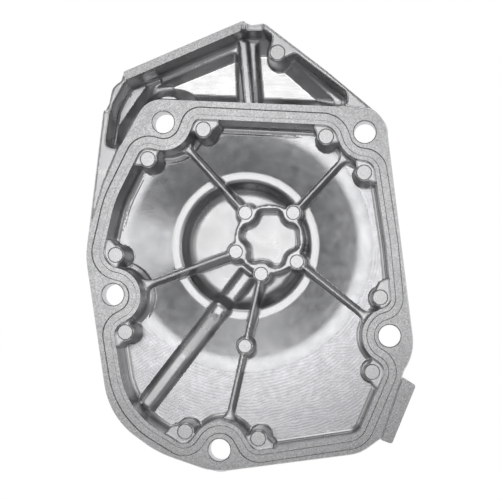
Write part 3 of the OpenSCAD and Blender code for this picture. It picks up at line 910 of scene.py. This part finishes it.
class Marks(Sums):
    """Textures in millimetres of the part, and masks by slope and by distance from the axis."""

    def noise(self, size_mm, detail=3.0, stretch=(1, 1, 1), distortion=0.0):
        tex = self.node("TexNoise", {"Scale": 1000 / size_mm, "Detail": detail, "Distortion": distortion})
        place = self.place
        if stretch != (1, 1, 1):
            mapping = self.node("Mapping", {"Scale": stretch})
            self.links.new(place, mapping.inputs["Vector"])
            place = mapping.outputs["Vector"]
        self.links.new(place, tex.inputs["Vector"])
        return tex.outputs["Fac"]

    def rings(self, size_mm, centre_mm, distortion=0.0, detail=1.0, swirl=1.0):
        """Tool marks: arcs about a centre, bent by noise; a low swirl bends them in long waves."""
        mapping = self.node("Mapping", {"Location": [-c * MM for c in centre_mm]})
        tex = self.node("TexWave", {
            "Scale": 1000 / size_mm / WAVES_AT_SCALE_1, "Distortion": distortion,
            "Detail": detail, "Detail Scale": swirl,
        })
        tex.wave_type = "RINGS"
        tex.rings_direction = "SPHERICAL"
        self.links.new(self.place, mapping.inputs["Vector"])
        self.links.new(mapping.outputs["Vector"], tex.inputs["Vector"])
        return tex.outputs["Fac"]

    def upward(self, low, high):
        """0 where the upright part of the normal is under low, 1 where it is over high."""
        parts = self.nodes.new("ShaderNodeSeparateXYZ")
        self.links.new(self.nodes.new("ShaderNodeTexCoord").outputs["Normal"], parts.inputs["Vector"])
        return self.spread(parts.outputs["Z"], 0, 1, low, high)

    def outwards(self, low_mm, high_mm):
        """0 nearer than low_mm to the axis of the dish, 1 farther than high_mm."""
        parts = self.nodes.new("ShaderNodeSeparateXYZ")
        self.links.new(self.place, parts.inputs["Vector"])
        x, y = parts.outputs["X"], parts.outputs["Y"]
        square = self.math("ADD", self.math("MULTIPLY", x, x), self.math("MULTIPLY", y, y))
        return self.spread(self.math("SQRT", square, 0.0), 0, 1, low_mm * MM, high_mm * MM)


print("marks:", [name for name in vars(Marks) if name[0] != "_"])

# %% [markdown]
# What a finish sets. Only three things of the metal change from finish to finish: its colour, its
# roughness and its fine relief. Reliefs are chained, so that each adds to the one before.

# %% Colour, roughness and relief
class Finish(Marks):
    """The three things that a finish sets on its metal."""

    def colour(self, factor, dark, light):
        node = self.nodes.new("ShaderNodeMix")
        node.data_type = "RGBA"
        node.inputs["A"].default_value = (*dark, 1)
        node.inputs["B"].default_value = (*light, 1)
        self.links.new(factor, node.inputs["Factor"])
        self.links.new(node.outputs["Result"], self.shader.inputs["Base Color"])

    def rough(self, value):
        self.links.new(value, self.shader.inputs["Roughness"])

    def bump(self, value, depth_mm):
        node = self.node("Bump", {"Distance": depth_mm * MM})
        self.links.new(value, node.inputs["Height"])
        if self.height is not None:
            self.links.new(self.height, node.inputs["Normal"])
        self.height = node.outputs["Normal"]
        self.links.new(self.height, self.shader.inputs["Normal"])


finishes = []


def keep(mat):
    """Adds a finish to the list and says how many nodes it took."""
    finishes.append(mat)
    print(mat.name, "made of", len(mat.node_tree.nodes), "nodes")


print("a finish sets:", [name for name in vars(Finish) if name[0] != "_"])

# %% [markdown]
# Cast skin. Where the metal set against the die it is satin, a little cloudy and finely grained. Its walls
# get painted shade: their colour is darker than that of its level faces. Painting the corners darker
# could do that too; the upright part of the normal darkens every wall evenly.

# %% Cast skin, with painted shade on the walls
def cast_skin_with_wall_shade():
    f = Finish("cast_skin_with_wall_shade", (0.7, 0.7, 0.7), 0.25)
    cloud = f.noise(9, 4, distortion=0.6)
    grain = f.noise(0.9, 4)
    mottle = f.math("MULTIPLY", f.math("ADD", cloud, grain), 0.5)
    # Painted shade: the colour goes from 0.40 on walls to 0.90 on level faces by the upright part of the
    # normal; the mottle is the metal's own cloud and grain.
    level = f.math("ADD", f.math("MULTIPLY", f.upward(0.15, 0.85), 0.75), f.math("MULTIPLY", mottle, 0.25))
    f.colour(level, (0.40, 0.40, 0.405), (0.90, 0.90, 0.905))
    f.rough(f.spread(cloud, 0.26, 0.32))
    f.bump(f.noise(7, 2), 0.03)
    f.bump(f.noise(1.7, 3), 0.018)
    f.bump(grain, 0.01)
    return f.mat


keep(cast_skin_with_wall_shade())

# %% [markdown]
# Milled seal face. A face mill leaves it flat and fine, with grains that glint. Arcs of the cutter's
# path are there, but so faint that a wave texture with almost no height is enough.

# %% Milled seal face
def milled_face():
    f = Finish("milled_face", (0.64, 0.64, 0.64), 0.2)
    speck = f.noise(0.8, 4)
    f.colour(f.spread(speck, 0, 1, 0.3, 0.7), (0.49, 0.49, 0.495), (0.76, 0.76, 0.765))
    f.rough(f.spread(f.noise(4, 2), 0.24, 0.29))
    f.bump(f.rings(0.9, (-160, 260, 0), 0.6), 0.001)
    f.bump(speck, 0.009)
    return f.mat


keep(milled_face())

# %% [markdown]
# Milled floor. The cutter crossed the floor and also ran round the dish, and its marks show in patches.
# Two sets of arcs, each bent by noise and mixed by a third noise, avoid the even pattern of one set.

# %% Milled floor
def milled_floor():
    f = Finish("milled_floor", (0.66, 0.66, 0.68), 0.23)
    across = f.rings(1.15, (60, -230, 0), 7, 2, swirl=0.55)
    around = f.rings(1.25, (0, 0, 0), 4, 2, swirl=0.3)
    patch = f.spread(f.noise(13, 2), 0, 1, 0.4, 0.6)
    other = f.math("SUBTRACT", 1.0, patch)
    ripple = f.math("ADD", f.math("MULTIPLY", across, patch), f.math("MULTIPLY", around, other))
    f.colour(f.spread(ripple, 0, 1, 0.1, 0.9), (0.69, 0.69, 0.712), (0.77, 0.77, 0.79))
    f.rough(f.spread(f.noise(3, 3), 0.20, 0.26))
    f.bump(ripple, 0.002)
    f.bump(f.noise(3, 3), 0.02)
    f.bump(f.noise(0.4, 2), 0.007)
    return f.mat


keep(milled_floor())

# %% [markdown]
# Drilled bore and pin print. The drill leaves fine rings round the wall of a hole: a noise squeezed
# upwards gives them. The print of a pin is smooth with a few spots.

# %% Drilled bore and pin print
def drilled_bore():
    f = Finish("drilled_bore", (0.55, 0.56, 0.57), 0.3)
    f.bump(f.noise(0.25, 2, (0.15, 0.15, 4)), 0.02)
    f.rough(f.spread(f.noise(1.2, 2), 0.25, 0.4))
    return f.mat


keep(drilled_bore())


def pin_mark():
    f = Finish("pin_mark", (0.76, 0.77, 0.78), 0.4)
    spot = f.noise(1.6, 3)
    f.colour(f.spread(spot, 0, 1), (0.66, 0.66, 0.665), (0.84, 0.84, 0.845))
    f.rough(f.spread(spot, 0.22, 0.30))
    f.bump(f.noise(0.5, 3), 0.008)
    return f.mat


keep(pin_mark())

# %% [markdown]
# Dish. The cone is so smooth that it mirrors the room with soft clouds, and it seems worn rounder and
# rougher towards its outer edge, which gives the bright rim. Rounding that edge in the mesh would need
# far finer triangles, so the rim is a bump that grows towards the edge. The narrow land round the flat
# disc is duller and lighter, and belongs to the same material to get a clean circle between them.

# %% Dish
EDGE_WEAR = 7


def dish_skin():
    f = Finish("dish_skin", (0.64, 0.65, 0.67), 0.15)
    dish = f.outwards(RING_R - 0.1, RING_R + 0.7)
    land = f.math("SUBTRACT", 1.0, dish)
    cloud = f.spread(f.noise(12, 4, distortion=0.8), 0, 0.43)
    tone = f.math("ADD", f.math("MULTIPLY", dish, cloud), land)
    f.colour(tone, (0.60, 0.605, 0.62), (0.87, 0.87, 0.875))
    shine = f.spread(f.noise(5, 4), 0.11, 0.16)
    edge = f.outwards(DISH_R - EDGE_WEAR, DISH_R)
    worn = f.math("MULTIPLY", edge, edge)
    shine = f.math("ADD", shine, f.math("MULTIPLY", worn, 0.12))
    f.rough(f.math("ADD", f.math("MULTIPLY", dish, shine), f.math("MULTIPLY", land, 0.28)))
    f.bump(f.math("SUBTRACT", 1.0, worn), 0.2)
    f.bump(f.noise(14, 2), 0.04)
    f.bump(f.noise(0.9, 4), 0.006)
    return f.mat


keep(dish_skin())

# %% [markdown]
# Floor of the wells. An end mill cleaned it, and it is the brightest face of the part. Long thin streaks
# of noise, squeezed along one direction, stand for the marks of the mill.

# %% Floor of the wells
def bright_floor():
    f = Finish("bright_floor", (0.88, 0.88, 0.88), 0.2)
    lines = f.noise(1.2, 3, (0.12, 1, 1))
    f.colour(f.spread(lines, 0, 1), (0.84, 0.84, 0.84), (0.93, 0.93, 0.93))
    f.rough(f.spread(f.noise(4, 2), 0.17, 0.22))
    f.bump(lines, 0.004)
    return f.mat


keep(bright_floor())

# %% [markdown]
# Putting the finishes on. The booleans leave an empty slot behind, so the slots are cleared first. The
# order of the list is the order of the zones.

# %% Putting the finishes on
cover.data.materials.clear()
for finish in finishes:
    cover.data.materials.append(finish)
cover.data.polygons.foreach_set("material_index", zone)
cover.data.update()
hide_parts("cover_casting")
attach(cover, "root")
print([m.name for m in cover.data.materials])

# %% [markdown]
# The part lies on its rest pad on a white table. More light would make the table white, but it would
# burn out the metal too, so the table glows for the camera and for rays that metal reflects or glass
# lets through. A tenth of it is plain paint, which keeps the shadow of the part.

# %% Table
TABLE_SIZE = 3.0
GLOW, GLOW_SHARE = 1.08, 0.9


def any_of(nodes, links, sockets):
    """1 where any of the sockets is 1."""
    result = sockets[0]
    for socket in sockets[1:]:
        both = nodes.new("ShaderNodeMath")
        both.operation = "MAXIMUM"
        links.new(result, both.inputs[0])
        links.new(socket, both.inputs[1])
        result = both.outputs["Value"]
    return result


def white_table():
    mat = bpy.data.materials.new("white_table")
    mat.use_nodes = True
    nodes, links = mat.node_tree.nodes, mat.node_tree.links
    shader = nodes["Principled BSDF"]
    shader.inputs["Base Color"].default_value = (0.9, 0.9, 0.9, 1)
    shader.inputs["Roughness"].default_value = 0.9
    glow = nodes.new("ShaderNodeEmission")
    glow.inputs["Strength"].default_value = GLOW
    path = nodes.new("ShaderNodeLightPath").outputs
    kinds = [path["Is Camera Ray"], path["Is Glossy Ray"], path["Is Transmission Ray"]]
    seen = nodes.new("ShaderNodeMath")
    seen.operation = "MULTIPLY"
    seen.inputs[1].default_value = GLOW_SHARE
    links.new(any_of(nodes, links, kinds), seen.inputs[0])
    mix = nodes.new("ShaderNodeMixShader")
    links.new(seen.outputs["Value"], mix.inputs["Fac"])
    links.new(shader.outputs["BSDF"], mix.inputs[1])
    links.new(glow.outputs["Emission"], mix.inputs[2])
    links.new(mix.outputs["Shader"], nodes["Material Output"].inputs["Surface"])
    return mat


def stage_floor():
    s = TABLE_SIZE
    mesh = bpy.data.meshes.new("table")
    mesh.from_pydata([(-s, -s, 0), (s, -s, 0), (s, s, 0), (-s, s, 0)], [], [(0, 1, 2, 3)])
    table = bpy.data.objects.new("table", mesh)
    bpy.context.scene.collection.objects.link(table)
    mesh.materials.append(white_table())
    return table


table = stage_floor()
print("table", tuple(round(v, 1) for v in table.dimensions))

# %% [markdown]
# Camera. It stands 0.8 m above the seal face, a little to the right of and below the part's middle, with
# a long lens, so walls on the left and top show more. A camera straight above would be simpler, but
# then the walls would show evenly all round.

# %% Camera
LENS = 140.9
EYE_AT = (56.8, -35.6, 835)
LOOKING = (130, -80, -1956.9)


def camera():
    data = bpy.data.cameras.new("camera")
    eye = bpy.data.objects.new("camera", data)
    bpy.context.scene.collection.objects.link(eye)
    data.lens = LENS
    data.sensor_width = 36.0
    data.clip_start, data.clip_end = 0.01, 20
    eye.location = Vector(EYE_AT) * MM
    plumb = Vector(LOOKING).normalized()
    eye.rotation_mode = "QUATERNION"
    eye.rotation_quaternion = plumb.rotation_difference(Vector((0, 0, -1)))
    bpy.context.scene.camera = eye
    return eye


eye = camera()
print("camera at", eye.location)

# %% [markdown]
# Light. Bare metal shows what it reflects, so a single sun would leave it black with a few sparks. The
# light is a ring of large soft boxes with dark gaps between them. A round one overhead lights the level
# faces and is mirrored in the left of the dish. Pairs around it, near and far, light the walls.

# %% Light
def soft_box(name, place, target, size, brightness, shape="RECTANGLE"):
    """A flat lamp; brightness is how bright its front looks, 1 being as bright as white paper."""
    data = bpy.data.lights.new(name, "AREA")
    data.shape = shape
    data.size, data.size_y = size[0] * MM, size[1] * MM
    filled = math.pi / 4 if shape == "ELLIPSE" else 1.0
    data.energy = brightness * math.pi * data.size * data.size_y * filled
    lamp = bpy.data.objects.new(name, data)
    bpy.context.scene.collection.objects.link(lamp)
    lamp.location = Vector(place) * MM
    lamp.rotation_mode = "QUATERNION"
    lamp.rotation_quaternion = (Vector(target) - Vector(place)).to_track_quat("-Z", "Y")
    return lamp


def ring_box(name, place, size, brightness):
    return soft_box(name, place, (0, 0, 0), size, brightness)


soft_box("overhead", (-88, 55, 1100), (-88, 55, 0), (382, 392), 1.4, "ELLIPSE")
soft_box("beside", (175, 50, 1100), (175, 50, 0), (120, 150), 0.85)
soft_box("behind", (-90, 330, 1100), (-90, 330, 0), (420, 130), 0.36)
ring_box("right", (450, 40, 950), (240, 360), 0.6)
ring_box("far_right", (1000, 150, 500), (700, 600), 0.9)
ring_box("top", (0, 560, 900), (400, 200), 0.6)
ring_box("far_top", (0, 1000, 700), (900, 500), 1.1)
ring_box("left", (-560, 0, 900), (200, 400), 0.5)
ring_box("far_left", (-1000, 0, 500), (700, 500), 0.8)
ring_box("far_bottom", (0, -1000, 500), (900, 500), 0.6)
ring_box("bottom", (0, -560, 900), (400, 160), 0.4)

# %% [markdown]
# Room. A weak, slightly cool world fills what no soft box reaches. The view transform is Standard, so
# that a white of 1 is white in the picture.

# %% Room and view
ROOM_LIGHT = 0.16
world = bpy.data.worlds.new("room")
world.use_nodes = True
world.node_tree.nodes["Background"].inputs["Color"].default_value = (0.97, 0.985, 1.0, 1)
world.node_tree.nodes["Background"].inputs["Strength"].default_value = ROOM_LIGHT
bpy.context.scene.world = world
bpy.context.scene.view_settings.view_transform = "Standard"
print("room light", ROOM_LIGHT)


bpy.context.view_layer.update()
